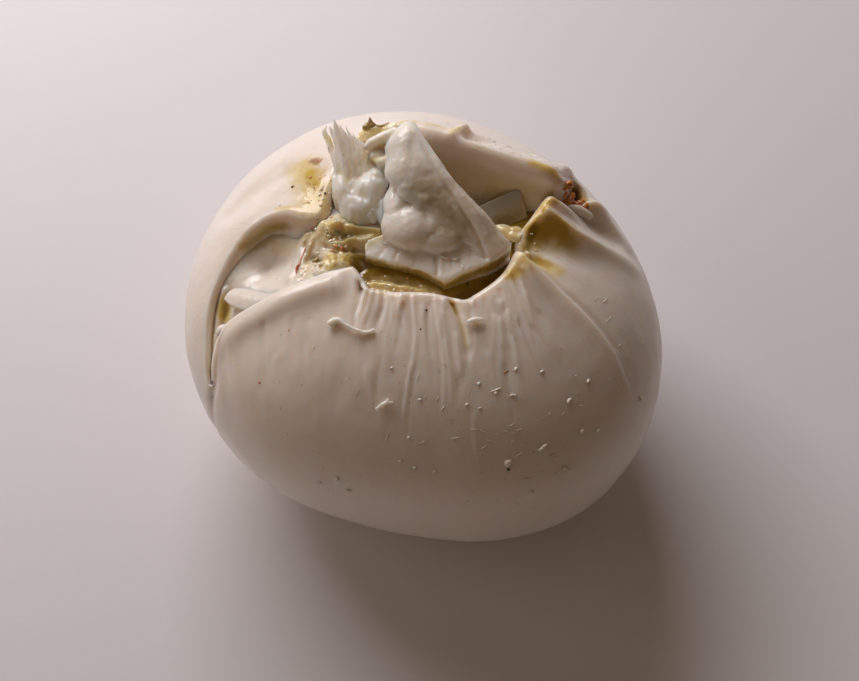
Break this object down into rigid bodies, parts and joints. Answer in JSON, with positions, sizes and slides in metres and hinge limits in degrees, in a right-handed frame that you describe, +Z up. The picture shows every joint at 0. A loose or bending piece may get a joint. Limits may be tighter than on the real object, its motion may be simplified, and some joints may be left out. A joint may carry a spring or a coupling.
{
  "type": "burrata cheese",
  "caption": "Burrata: a plump oval pouch of pulled curd, gathered on top into a knot with a torn wisp and folds round a shallow mouth, resting on a small flat spot.",
  "frame": {"origin": "bottom centre of the part's box: X and Y at the middle, Z at the flat spot that it rests on", "axes": "+Z up through the knot, +Y towards the back fold, +X to the right seen from the front"},
  "size_m": [0.0921, 0.0886, 0.0631],
  "materials": {
    "curd": "moist glossy cream-white pulled curd"
  },
  "bodies": {
    "root": {"burrata": "curd"}
  },
  "joints": []
}
